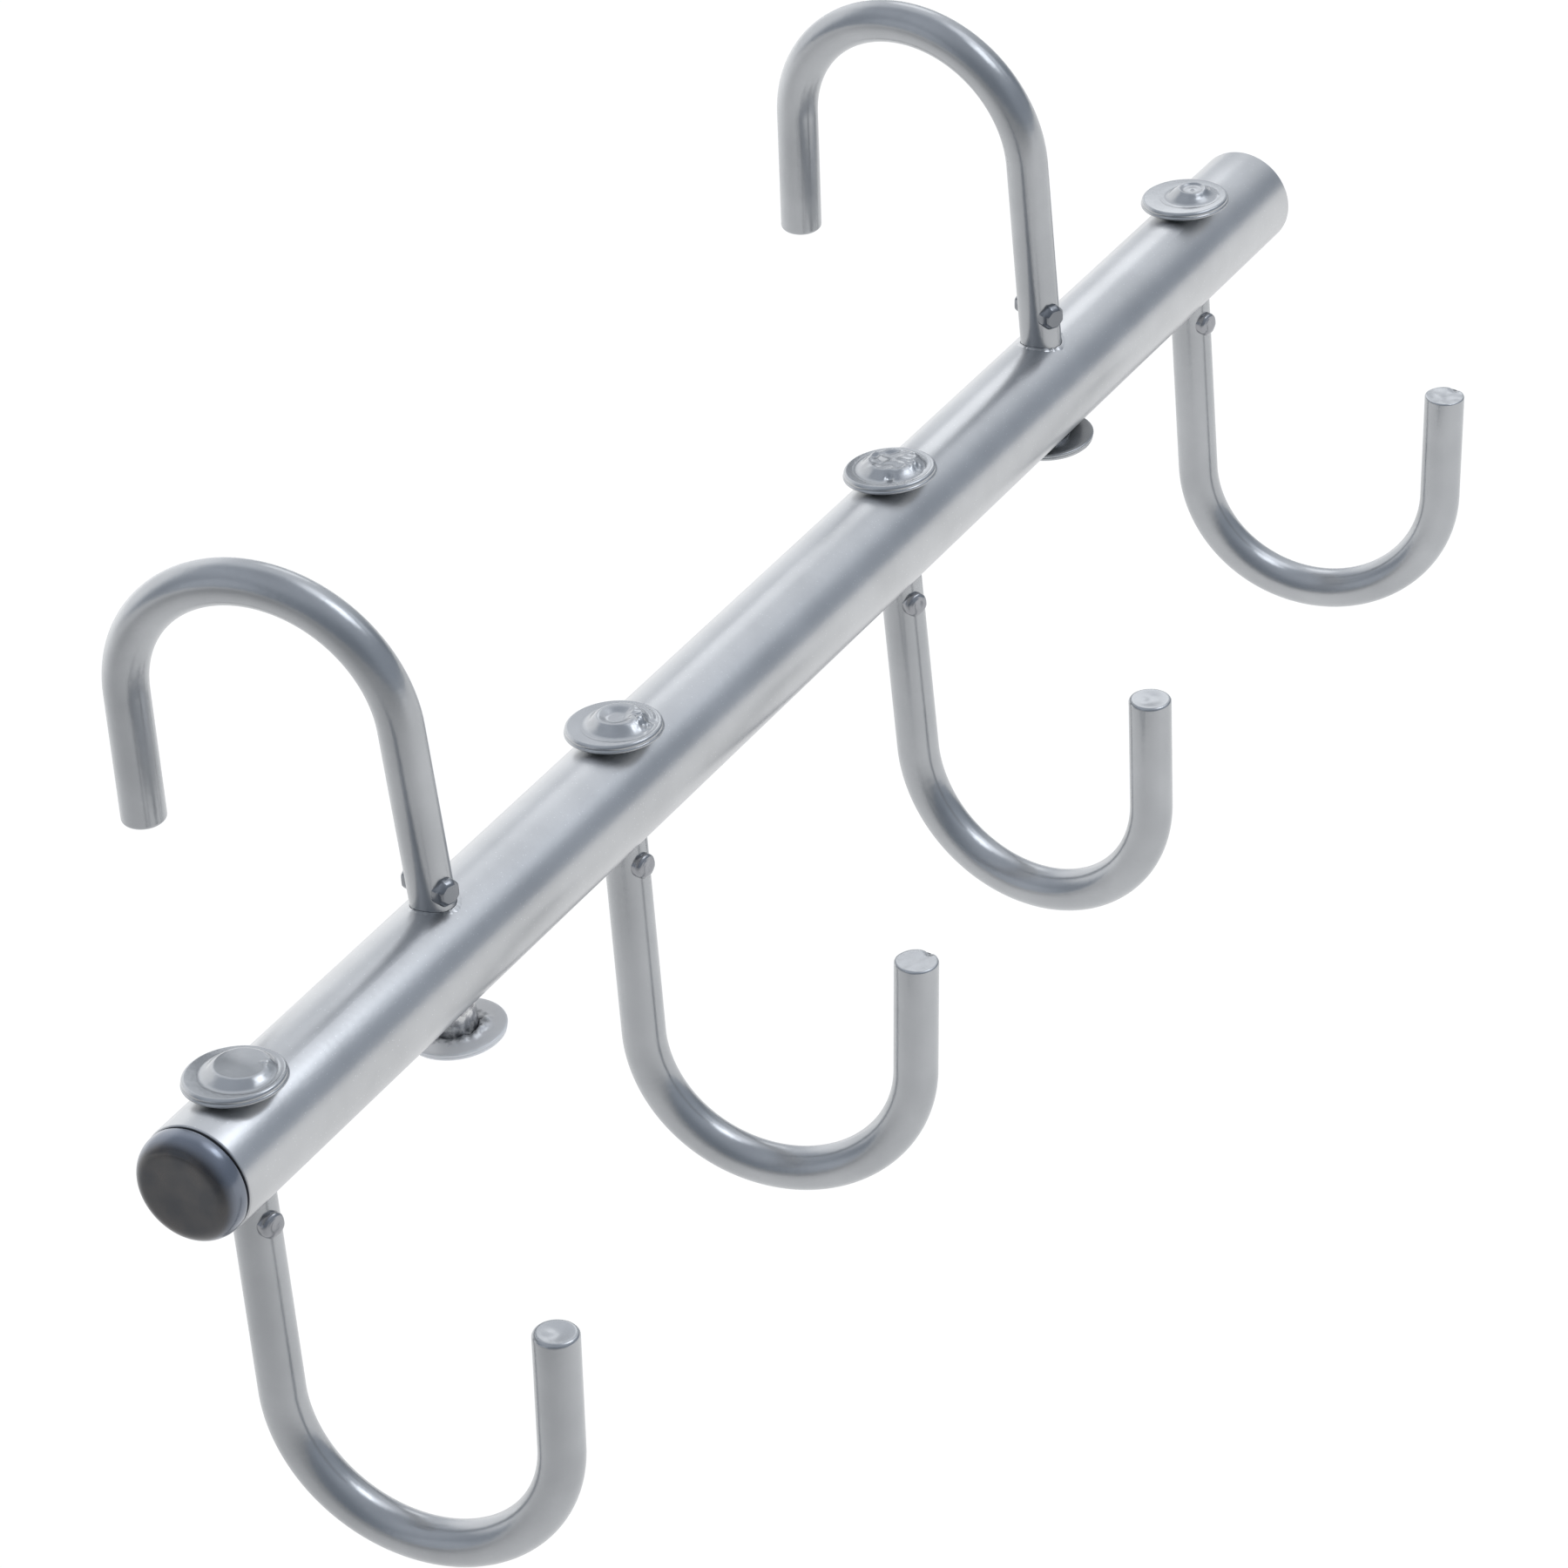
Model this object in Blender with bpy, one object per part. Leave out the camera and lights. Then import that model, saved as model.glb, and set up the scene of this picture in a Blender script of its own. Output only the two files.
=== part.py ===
"""Portable tack rack: a steel tube that carries six loose J-hooks.

Four hooks hang below the tube for bridles and halters. Two hooks stand above it and
go over a rail or a stall door. Each hook is a bent rod that passes through the tube.
A washer and a formed head stop it on one side, and a cross rivet stops it on the other,
so that it can turn all the way round and slide by the play between the two.

Lengths are in metres and angles in degrees. +Z is up and +X runs along the tube, from
the capped end to the open end. The upper hooks reach towards +Y, the lower ones to -Y.
The origin is where a rail bears on the upper hooks, midway between them.
"""

import math
from collections import namedtuple

import bmesh
import bpy
from mathutils import Matrix, Vector

# Gap between pieces that touch on the real object
SEAT_GAP = 0.0003

# Tube
TUBE_OD = 0.0254
TUBE_WALL = 0.0015
TUBE_EDGE = 0.0003
TUBE_LENGTH = 0.4880

# Places of the hooks: the end ones from the tube's ends, the others from its middle
LOWER_1_FROM_CAPPED_END = 0.0170
LOWER_2_FROM_MIDDLE = -0.0760
LOWER_3_FROM_MIDDLE = 0.0530
LOWER_4_FROM_OPEN_END = 0.0335
UPPER_1_FROM_MIDDLE = -0.1505
UPPER_2_FROM_MIDDLE = 0.1305

# Hook rod
ROD_D = 0.0100
BEND_RADIUS = 0.0320
BEND_ANGLE = 176.0
LOWER_TIP = 0.0285
UPPER_TIP = 0.0320
TIP_EDGE = 0.0006

# Shanks from the washer to the bend, which differ because the rods are bent by hand
LOWER_1_SHANK = 0.0745
LOWER_2_SHANK = 0.0770
LOWER_3_SHANK = 0.0725
LOWER_4_SHANK = 0.0745
UPPER_SHANK = 0.0740

# How far each hook is turned about its shank
LOWER_TURNS = (5.6, 10.8, -3.2, 9.8)
UPPER_TURNS = (-6.8, 2.4)

# How far each loose shank leans in its hole, about X and about Y
LOWER_LEANS = ((-0.5, 1.0), (0.5, 1.0), (-1.0, 0.5), (0.5, 0.5))
UPPER_LEANS = ((-1.0, -2.5), (1.5, -3.0))

# Room left round the shank that leans the most
HOLE_CLEARANCE = 0.00025

# Washer
WASHER_OD = 0.0222
WASHER_THICKNESS = 0.0020
WASHER_EDGE = 0.0006

# Formed head of the rod, which holds the washer
HEAD_D = 0.0136
HEAD_LIP = 0.0004

# Cross rivet that stops the hook on the bend side
RIVET_SHANK_D = 0.0034
RIVET_HEAD_D = 0.0064
RIVET_HEAD_HEIGHT = 0.0019
RIVET_HEAD_SIDE = 0.0010
RIVET_FLAT_D = 0.0044
RIVET_TURN = 24.0

# Play of each hook along its shank, between its washer and its rivet
LOWER_PLAY = 0.0031
UPPER_1_PLAY = 0.0065
UPPER_2_PLAY = 0.0053

# Plastic end cap
CAP_INSET = 0.0002
CAP_RISE = 0.0063
CAP_SHOULDER = 0.0042
CAP_RIM = 0.0004
CAP_STEM_WALL = 0.0014
CAP_STEM_LEAD = 0.0011
CAP_RIB_COUNT = 3
CAP_RIB_PITCH = 0.0028
CAP_RIB_SLOPE = 0.0016
CAP_RIB_HEIGHT = 0.0005

# Facets
TUBE_SIDES = 48
HOLE_SIDES = 24
ROD_SIDES = 20
BEND_STEPS = 16
WASHER_SIDES = 24
RIVET_SIDES = 12
CAP_SIDES = 32

# The crown is the flat top of a head, and the dish is the hollow in it
Head = namedtuple("Head", "height crown_d dish_d dish_depth")
SMOOTH_HEAD = Head(height=0.0020, crown_d=0.0080, dish_d=0.0, dish_depth=0.0)
DISHED_HEAD = Head(height=0.0022, crown_d=0.0070, dish_d=0.0054, dish_depth=0.0003)
HAMMERED_HEAD = Head(height=0.0021, crown_d=0.0088, dish_d=0.0, dish_depth=0.0)
CRATER_HEAD = Head(height=0.0028, crown_d=0.0044, dish_d=0.0034, dish_depth=0.0006)

# Derived sizes
TUBE_RADIUS = TUBE_OD / 2
TUBE_MIDDLE = TUBE_LENGTH / 2
ROD_RADIUS = ROD_D / 2
SEAT_DISTANCE = TUBE_RADIUS + SEAT_GAP
STEEPEST_LEAN = max(math.hypot(*lean) for lean in LOWER_LEANS + UPPER_LEANS)
HOLE_RADIUS = ROD_RADIUS + TUBE_RADIUS * math.tan(math.radians(STEEPEST_LEAN)) + HOLE_CLEARANCE
RIVET_REACH = ROD_RADIUS + RIVET_HEAD_HEIGHT
RAIL_RISE = UPPER_SHANK - SEAT_DISTANCE + BEND_RADIUS - ROD_RADIUS
RAIL_CENTRE = TUBE_MIDDLE + (UPPER_1_FROM_MIDDLE + UPPER_2_FROM_MIDDLE) / 2
TUBE_START = Vector((-RAIL_CENTRE, -BEND_RADIUS, -RAIL_RISE))

# The side says whether a hook stands below the tube or above it. One that has dropped
# has slid down until its rivet rests over the tube
Hook = namedtuple("Hook", "name number side station shank tip turn lean play dropped head")


def lower_hook(number, station, shank, head):
    turn = LOWER_TURNS[number - 1]
    lean = LOWER_LEANS[number - 1]
    return Hook("lower", number, -1, station, shank, LOWER_TIP, turn, lean, LOWER_PLAY, False, head)


def upper_hook(number, station, play, dropped, head):
    turn = UPPER_TURNS[number - 1]
    lean = UPPER_LEANS[number - 1]
    return Hook("upper", number, 1, station, UPPER_SHANK, UPPER_TIP, turn, lean, play, dropped, head)


HOOKS = (
    lower_hook(1, LOWER_1_FROM_CAPPED_END, LOWER_1_SHANK, SMOOTH_HEAD),
    lower_hook(2, TUBE_MIDDLE + LOWER_2_FROM_MIDDLE, LOWER_2_SHANK, DISHED_HEAD),
    lower_hook(3, TUBE_MIDDLE + LOWER_3_FROM_MIDDLE, LOWER_3_SHANK, HAMMERED_HEAD),
    lower_hook(4, TUBE_LENGTH - LOWER_4_FROM_OPEN_END, LOWER_4_SHANK, CRATER_HEAD),
    upper_hook(1, TUBE_MIDDLE + UPPER_1_FROM_MIDDLE, UPPER_1_PLAY, True, SMOOTH_HEAD),
    upper_hook(2, TUBE_MIDDLE + UPPER_2_FROM_MIDDLE, UPPER_2_PLAY, False, DISHED_HEAD),
)


def clear_scene():
    for old in list(bpy.data.objects):
        bpy.data.objects.remove(old, do_unlink=True)


def make_material(name, colour, metallic, roughness):
    material = bpy.data.materials.new(name)
    material.use_nodes = True
    shader = material.node_tree.nodes["Principled BSDF"]
    shader.inputs["Base Color"].default_value = (*colour, 1.0)
    shader.inputs["Metallic"].default_value = metallic
    shader.inputs["Roughness"].default_value = roughness
    return material


def add_object(name, mesh):
    item = bpy.data.objects.new(name, mesh)
    bpy.context.scene.collection.objects.link(item)
    return item


def mesh_from(bm, name):
    """Close the bmesh into a mesh with outward faces and smooth shading."""
    bmesh.ops.recalc_face_normals(bm, faces=bm.faces[:])
    mesh = bpy.data.meshes.new(name)
    bm.to_mesh(mesh)
    bm.free()
    mesh.shade_smooth()
    mesh.set_sharp_from_angle(angle=math.radians(35))
    return mesh


def make_guide(name, mesh):
    guide = add_object(name, mesh)
    guide.hide_render = True
    guide.display_type = "WIRE"
    return guide


def add_boolean(item, guide, operation):
    modifier = item.modifiers.new(guide.name, "BOOLEAN")
    modifier.operation = operation
    modifier.solver = "EXACT"
    modifier.object = guide


def apply_modifiers(item, guides):
    """Replace the object's mesh by the evaluated one and delete its guides."""
    depsgraph = bpy.context.evaluated_depsgraph_get()
    mesh = bpy.data.meshes.new_from_object(item.evaluated_get(depsgraph))
    mesh.name = item.name
    item.modifiers.clear()
    item.data = mesh
    mesh.set_sharp_from_angle(angle=math.radians(35))
    for guide in guides:
        bpy.data.objects.remove(guide, do_unlink=True)
    return mesh


def arc_points(centre, radius, start, end, steps):
    """Points (radial, axial) on an arc, both of its ends included."""
    points = []
    for step in range(steps + 1):
        angle = math.radians(start + (end - start) * step / steps)
        points.append((centre[0] + radius * math.cos(angle), centre[1] + radius * math.sin(angle)))
    return points


def lathe(bm, profile, sides, closed):
    """Turn a profile of (radial, axial) points about Z."""
    verts = [bm.verts.new((radial, 0.0, axial)) for radial, axial in profile]
    edges = [bm.edges.new(pair) for pair in zip(verts, verts[1:])]
    if closed:
        edges.append(bm.edges.new((verts[-1], verts[0])))
    bmesh.ops.spin(
        bm,
        geom=verts + edges,
        cent=(0, 0, 0),
        axis=(0, 0, 1),
        angle=math.tau,
        steps=sides,
        use_merge=True,
    )
    bmesh.ops.remove_doubles(bm, verts=bm.verts[:], dist=1e-7)


def cylinder_mesh(name, radius, start, end, sides):
    """A closed cylinder along Z."""
    bm = bmesh.new()
    lathe(bm, [(0.0, end), (radius, end), (radius, start), (0.0, start)], sides, closed=False)
    return mesh_from(bm, name)


def open_rim(bm):
    return [edge for edge in bm.edges if edge.is_boundary]


def rim_verts(edges):
    return list({vert for edge in edges for vert in edge.verts})


def head_profile(head):
    """The formed head from its crown down to the rod, with the washer's tube side at z = 0."""
    base = -(WASHER_THICKNESS + SEAT_GAP)
    top = base - head.height
    crown = head.crown_d / 2
    rim = HEAD_D / 2
    points = [(0.0, top + head.dish_depth)]
    if head.dish_d:
        points.append((head.dish_d / 2, top + head.dish_depth))
    for step in range(4):
        swing = math.radians(30 * step)
        points.append((
            crown + (rim - crown) * math.sin(swing),
            base - HEAD_LIP - (head.height - HEAD_LIP) * math.cos(swing),
        ))
    return points + [(rim, base), (ROD_RADIUS, base)]


def stop_distance(hook):
    """From the washer's face to the rivet's axis: both sides of the tube, and the play."""
    return 2 * SEAT_DISTANCE + hook.play + RIVET_HEAD_D / 2


def make_hook_rod(hook, name):
    """Turn the head and shank, sweep the bend, draw out the tip, then drill the rivet hole."""
    bm = bmesh.new()
    lathe(bm, head_profile(hook.head) + [(ROD_RADIUS, hook.shank)], ROD_SIDES, closed=False)
    rim = open_rim(bm)
    bmesh.ops.spin(
        bm,
        geom=rim_verts(rim) + rim,
        cent=(BEND_RADIUS, 0.0, hook.shank),
        axis=(0, 1, 0),
        angle=math.radians(BEND_ANGLE),
        steps=BEND_STEPS,
        use_merge=False,
    )
    rim = open_rim(bm)
    swing = math.radians(BEND_ANGLE)
    along = Vector((math.sin(swing), 0.0, math.cos(swing)))
    grown = bmesh.ops.extrude_edge_only(bm, edges=rim)["geom"]
    grown_verts = [piece for piece in grown if isinstance(piece, bmesh.types.BMVert)]
    bmesh.ops.translate(bm, verts=grown_verts, vec=along * hook.tip)
    rim = open_rim(bm)
    face = bmesh.ops.contextual_create(bm, geom=rim)["faces"][0]
    bmesh.ops.bevel(
        bm,
        geom=list(face.edges),
        offset=TIP_EDGE,
        offset_type="OFFSET",
        segments=2,
        profile=0.5,
        affect="EDGES",
    )
    rod = add_object(name, mesh_from(bm, name))
    drill_radius = RIVET_SHANK_D / 2 + SEAT_GAP
    drill = make_guide(name + "_drill", cylinder_mesh("drill", drill_radius, -ROD_D, ROD_D, RIVET_SIDES))
    drill.matrix_world = rivet_frame(hook)
    add_boolean(rod, drill, "DIFFERENCE")
    apply_modifiers(rod, [drill])
    return rod


def rivet_frame(hook):
    """The rivet's own Z lies across the rod, turned from the plane of the hook."""
    place = Matrix.Translation((0.0, 0.0, stop_distance(hook)))
    turn = Matrix.Rotation(math.radians(-RIVET_TURN * hook.side), 4, "Z")
    across = Matrix.Rotation(math.radians(90), 4, "Y")
    return place @ turn @ across


def make_rivet_mesh():
    """A rivet with a hammered button at each end, whose undersides saddle the rod."""
    radius = RIVET_HEAD_D / 2
    flat = RIVET_FLAT_D / 2
    root = ROD_RADIUS / 2
    shoulder = ROD_RADIUS + RIVET_HEAD_SIDE
    button = [
        (0.0, RIVET_REACH),
        (flat, RIVET_REACH),
        ((flat + radius) / 2, (2 * RIVET_REACH + shoulder) / 3),
        (radius, shoulder),
        (radius, root),
        (0.0, root),
    ]
    bm = bmesh.new()
    lathe(bm, button, RIVET_SIDES, closed=False)
    other = bmesh.ops.duplicate(bm, geom=bm.verts[:] + bm.edges[:] + bm.faces[:])["geom"]
    flipped = [piece for piece in other if isinstance(piece, bmesh.types.BMVert)]
    bmesh.ops.rotate(bm, verts=flipped, cent=(0, 0, 0), matrix=Matrix.Rotation(math.pi, 3, "X"))
    rivet = add_object("rivet", mesh_from(bm, "rivet"))
    round_rod = ROD_RADIUS + SEAT_GAP
    saddle_mesh = cylinder_mesh("saddle", round_rod, -RIVET_HEAD_D, RIVET_HEAD_D, 2 * ROD_SIDES)
    saddle = make_guide("saddle", saddle_mesh)
    saddle.rotation_euler = (0.0, math.radians(90), 0.0)
    shank_mesh = cylinder_mesh("shank", RIVET_SHANK_D / 2, -shoulder, shoulder, RIVET_SIDES)
    shank = make_guide("shank", shank_mesh)
    add_boolean(rivet, saddle, "DIFFERENCE")
    add_boolean(rivet, shank, "UNION")
    mesh = apply_modifiers(rivet, [saddle, shank])
    bpy.data.objects.remove(rivet, do_unlink=True)
    return mesh


def make_washer_mesh():
    """A flat washer with rolled edges, its tube side at z = 0."""
    outer = WASHER_OD / 2
    bore = ROD_RADIUS + SEAT_GAP
    roll = WASHER_EDGE
    lower = arc_points((outer - roll, -WASHER_THICKNESS + roll), roll, -90, 0, 2)
    upper = arc_points((outer - roll, -roll), roll, 0, 90, 2)
    bm = bmesh.new()
    lathe(bm, [(bore, -WASHER_THICKNESS)] + lower + upper + [(bore, 0.0)], WASHER_SIDES, closed=True)
    return mesh_from(bm, "washer")


def make_tube():
    """A drawn tube with eased ends and a hole through both walls for each hook."""
    inner = TUBE_RADIUS - TUBE_WALL
    ease = TUBE_EDGE
    profile = [
        (inner, 0.0),
        (TUBE_RADIUS - ease, 0.0),
        (TUBE_RADIUS, ease),
        (TUBE_RADIUS, TUBE_LENGTH - ease),
        (TUBE_RADIUS - ease, TUBE_LENGTH),
        (inner, TUBE_LENGTH),
    ]
    bm = bmesh.new()
    lathe(bm, profile, TUBE_SIDES, closed=True)
    bmesh.ops.rotate(bm, verts=bm.verts[:], cent=(0, 0, 0), matrix=Matrix.Rotation(math.radians(90), 3, "Y"))
    tube = add_object("tube", mesh_from(bm, "tube"))
    drills = []
    for hook in HOOKS:
        drill_mesh = cylinder_mesh("drill", HOLE_RADIUS, -TUBE_OD, TUBE_OD, HOLE_SIDES)
        drill = make_guide("%s_drill_%d" % (hook.name, hook.number), drill_mesh)
        drill.location = (hook.station, 0.0, 0.0)
        add_boolean(tube, drill, "DIFFERENCE")
        drills.append(drill)
    apply_modifiers(tube, drills)
    tube.location = TUBE_START
    return tube


def make_end_cap():
    """A push-in cap: a domed head, and a hollow stem with gripping ribs inside the tube."""
    head = TUBE_RADIUS - CAP_INSET
    stem = TUBE_RADIUS - TUBE_WALL - SEAT_GAP
    root = stem - CAP_RIB_HEIGHT
    stem_end = CAP_STEM_LEAD + CAP_RIB_COUNT * CAP_RIB_PITCH
    profile = [(0.0, -CAP_RISE)]
    profile += arc_points((head - CAP_SHOULDER, CAP_SHOULDER - CAP_RISE), CAP_SHOULDER, -90, 0, 4)
    profile += [(head, -SEAT_GAP - CAP_RIM), (head - CAP_RIM, -SEAT_GAP), (root, -SEAT_GAP)]
    for rib in range(CAP_RIB_COUNT):
        start = CAP_STEM_LEAD + rib * CAP_RIB_PITCH
        profile += [(root, start), (stem, start), (root, start + CAP_RIB_SLOPE)]
    bore = root - CAP_STEM_WALL
    profile += [(root, stem_end), (bore, stem_end), (bore, -SEAT_GAP), (0.0, -SEAT_GAP)]
    bm = bmesh.new()
    lathe(bm, profile, CAP_SIDES, closed=False)
    bmesh.ops.rotate(bm, verts=bm.verts[:], cent=(0, 0, 0), matrix=Matrix.Rotation(math.radians(90), 3, "Y"))
    cap = add_object("end_cap", mesh_from(bm, "end_cap"))
    cap.location = TUBE_START
    return cap


def seat_offset(hook):
    """How far the washer's face stands from the tube's axis, along the leaning shank."""
    tilt = WASHER_OD / 2 * math.sin(math.radians(abs(hook.lean[1])))
    dip = RIVET_REACH * math.sin(math.radians(math.hypot(*hook.lean)))
    drop = hook.play - tilt - dip if hook.dropped else 0.0
    return SEAT_DISTANCE + tilt + drop


def hook_axis(hook):
    """An empty on the joint axis: Z runs down the shank to the bend, X towards the tip."""
    side = hook.side
    lean_x, lean_y = (math.radians(angle) for angle in hook.lean)
    lean = Matrix.Rotation(lean_y, 4, "Y") @ Matrix.Rotation(lean_x, 4, "X")
    turn = Matrix.Rotation(math.radians((90.0 - hook.turn) * side), 4, "Z")
    flip = Matrix.Rotation(math.pi if side < 0 else 0.0, 4, "X")
    axis = bpy.data.objects.new("%s_axis_%d" % (hook.name, hook.number), None)
    bpy.context.scene.collection.objects.link(axis)
    place = Matrix.Translation(TUBE_START + Vector((hook.station, 0.0, 0.0)))
    axis.matrix_world = place @ lean @ turn @ flip
    return axis


def assemble_hook(hook, rivet_mesh, washer_mesh, finishes):
    """Hang a rod, a washer and a rivet on the hook's axis."""
    axis = hook_axis(hook)
    rod = make_hook_rod(hook, "%s_hook_%d" % (hook.name, hook.number))
    washer = add_object("%s_washer_%d" % (hook.name, hook.number), washer_mesh)
    rivet = add_object("%s_stop_rivet_%d" % (hook.name, hook.number), rivet_mesh)
    seat = Matrix.Translation((0.0, 0.0, -seat_offset(hook)))
    for item, frame in ((rod, seat), (washer, seat), (rivet, seat @ rivet_frame(hook))):
        item.parent = axis
        item.matrix_local = frame
    rod.data.materials.clear()
    rod.data.materials.append(finishes["rod"])


def build():
    clear_scene()
    finishes = {
        "tube": make_material("tube_paint", (0.56, 0.58, 0.61), 0.75, 0.34),
        "rod": make_material("hook_paint", (0.40, 0.42, 0.45), 0.70, 0.36),
        "washer": make_material("washer_paint", (0.50, 0.52, 0.54), 0.75, 0.30),
        "rivet": make_material("rivet_steel", (0.36, 0.38, 0.41), 0.80, 0.32),
        "cap": make_material("cap_plastic", (0.045, 0.050, 0.056), 0.0, 0.42),
    }
    make_tube().data.materials.append(finishes["tube"])
    make_end_cap().data.materials.append(finishes["cap"])
    washer_mesh = make_washer_mesh()
    washer_mesh.materials.append(finishes["washer"])
    rivet_mesh = make_rivet_mesh()
    rivet_mesh.materials.clear()
    rivet_mesh.materials.append(finishes["rivet"])
    for hook in HOOKS:
        assemble_hook(hook, rivet_mesh, washer_mesh, finishes)


build()
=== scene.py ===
"""Looks of the tack rack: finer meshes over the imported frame, paint, light and camera.

Lengths are in metres and angles in degrees, unless a comment says otherwise.
"""

import math
from collections import namedtuple

import bmesh
import bpy
from mathutils import Matrix, Vector, noise


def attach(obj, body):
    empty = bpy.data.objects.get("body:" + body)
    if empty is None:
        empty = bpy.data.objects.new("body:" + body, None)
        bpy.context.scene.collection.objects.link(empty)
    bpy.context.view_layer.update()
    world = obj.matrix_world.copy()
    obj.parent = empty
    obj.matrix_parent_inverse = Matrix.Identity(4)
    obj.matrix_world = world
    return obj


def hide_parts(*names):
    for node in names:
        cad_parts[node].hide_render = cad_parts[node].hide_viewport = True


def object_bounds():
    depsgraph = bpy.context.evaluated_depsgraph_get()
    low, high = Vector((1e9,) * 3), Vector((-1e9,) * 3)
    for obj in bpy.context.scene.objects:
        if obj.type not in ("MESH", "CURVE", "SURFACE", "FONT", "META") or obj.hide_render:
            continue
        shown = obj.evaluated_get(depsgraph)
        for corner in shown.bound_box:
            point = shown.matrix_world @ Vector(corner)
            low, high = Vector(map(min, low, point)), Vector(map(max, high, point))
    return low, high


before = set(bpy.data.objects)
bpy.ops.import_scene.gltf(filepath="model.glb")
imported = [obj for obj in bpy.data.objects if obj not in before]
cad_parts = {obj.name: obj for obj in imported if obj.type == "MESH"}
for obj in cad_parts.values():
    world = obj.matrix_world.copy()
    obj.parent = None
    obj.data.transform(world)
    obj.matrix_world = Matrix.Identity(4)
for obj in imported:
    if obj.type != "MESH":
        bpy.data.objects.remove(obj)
cad_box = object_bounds()

# The source's own sizes
SEAT_GAP = 0.0003
TUBE_RADIUS = 0.0127
TUBE_WALL = 0.0015
TUBE_LENGTH = 0.4880
TUBE_START = Vector((-0.234, -0.032, -0.088))
ROD_RADIUS = 0.0050
BEND_RADIUS = 0.0320
BEND_ANGLE = 176.0
WASHER_RADIUS = 0.0111
WASHER_THICKNESS = 0.0020
SEAT_DISTANCE = TUBE_RADIUS + SEAT_GAP
RIVET_HEAD_D = 0.0064
RIVET_REACH = 0.0069
RIVET_TURN = 24.0

# One row per hook. A lower hook hangs under the tube, on side -1. Station is its place along the
# tube, turn its swivel angle and lean its tilt about X and Y. A dropped hook rests on its rivet.
Hook = namedtuple("Hook", "row number side station shank tip turn lean play dropped")
HOOKS = (
    Hook("lower", 1, -1, 0.0170, 0.0745, 0.0285, 5.6, (-0.5, 1.0), 0.0031, False),
    Hook("lower", 2, -1, 0.1680, 0.0770, 0.0285, 10.8, (0.5, 1.0), 0.0031, False),
    Hook("lower", 3, -1, 0.2970, 0.0725, 0.0285, -3.2, (-1.0, 0.5), 0.0031, False),
    Hook("lower", 4, -1, 0.4545, 0.0745, 0.0285, 9.8, (0.5, 0.5), 0.0031, False),
    Hook("upper", 1, 1, 0.0935, 0.0740, 0.0320, -6.8, (-1.0, -2.5), 0.0065, True),
    Hook("upper", 2, 1, 0.3745, 0.0740, 0.0320, 2.4, (1.5, -3.0), 0.0053, False),
)
SPATTERED_HOOK = HOOKS[4]
WORN_HOOK = HOOKS[5]

# Facets round and along the forms
TUBE_SIDES = 192
DRILL_SIDES = 64
ROD_SIDES = 64
WASHER_SIDES = 120
RIVET_SIDES = 48
CAP_SIDES = 128
COLLAR_SIDES = 160
HEAD_RINGS = 40
SHANK_STEPS = 8
BEND_STEPS = 96
TIP_STEPS = 3
TIP_EDGE_STEPS = 9
TIP_FACE_STEPS = 20

# Edges are sharp from these angles on
SHARP = 50.0
TUBE_SHARP = 30.0
RIVET_SHARP = 28.0

# Directions in the photograph, level with the ground
PICTURE_RIGHT = Vector((0.4847, -0.8747, 0.0))
PICTURE_AWAY = Vector((0.8747, 0.4847, 0.0))

ALONG_X = Matrix.Rotation(math.radians(90), 4, "Y")


# Meshes

def add_object(name, data):
    """Put data into the scene as an object."""
    made = bpy.data.objects.new(name, data)
    bpy.context.scene.collection.objects.link(made)
    return made


def add_piece(name, mesh, body, material, slot, *nodes):
    """Put a mesh on a body in place of its CAD nodes."""
    piece = add_object(name, mesh)
    mesh.materials.clear()
    mesh.materials.append(material)
    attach(piece, body)
    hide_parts(*nodes)
    return piece


def shade(mesh, sharp):
    """Smooth shading, with sharp edges above an angle."""
    mesh.shade_smooth()
    mesh.set_sharp_from_angle(angle=math.radians(sharp))


def turn_outwards(mesh, weld=None):
    """Turn all faces outwards, after welding points that lie within a distance."""
    bm = bmesh.new()
    bm.from_mesh(mesh)
    if weld:
        bmesh.ops.remove_doubles(bm, verts=bm.verts[:], dist=weld)
    bmesh.ops.recalc_face_normals(bm, faces=bm.faces[:])
    bm.to_mesh(mesh)
    bm.free()


def join(mesh, parts):
    """Fill a mesh with the parts."""
    joined = bmesh.new()
    for part in parts:
        joined.from_mesh(part)
    joined.to_mesh(mesh)
    joined.free()


def skin(name, rings, place):
    """A mesh through rings of points.

    A ring of one point is a pole, and a ring may have twice the sides of the next one.
    """
    verts = []
    starts = []
    for ring in rings:
        starts.append(len(verts))
        verts.extend(place @ Vector(point) for point in ring)
    faces = []
    for (a, one), (b, two) in zip(zip(starts, rings), list(zip(starts, rings))[1:]):
        sides = max(len(one), len(two))
        for k in range(sides):
            n = (k + 1) % sides
            if len(one) == 2 * len(two) > 2:
                k2, n2 = k // 2, (k // 2 + 1) % len(two)
                if k % 2:
                    faces.append((a + k, b + n2, a + n))
                else:
                    faces.append((a + k, b + k2, a + n))
                    faces.append((a + n, b + k2, b + n2))
            elif len(one) == 1:
                faces.append((a, b + k, b + n))
            elif len(two) == 1:
                faces.append((a + n, a + k, b))
            else:
                faces.append((a + k, b + k, b + n, a + n))
    mesh = bpy.data.meshes.new(name)
    mesh.from_pydata([tuple(vert) for vert in verts], [], faces)
    turn_outwards(mesh)
    shade(mesh, SHARP)
    return mesh


def circle(radius, height, sides):
    """A ring of points about Z."""
    if radius == 0.0:
        return [(0.0, 0.0, height)]
    angles = [math.tau * k / sides for k in range(sides)]
    return [(radius * math.cos(angle), radius * math.sin(angle), height) for angle in angles]


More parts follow.
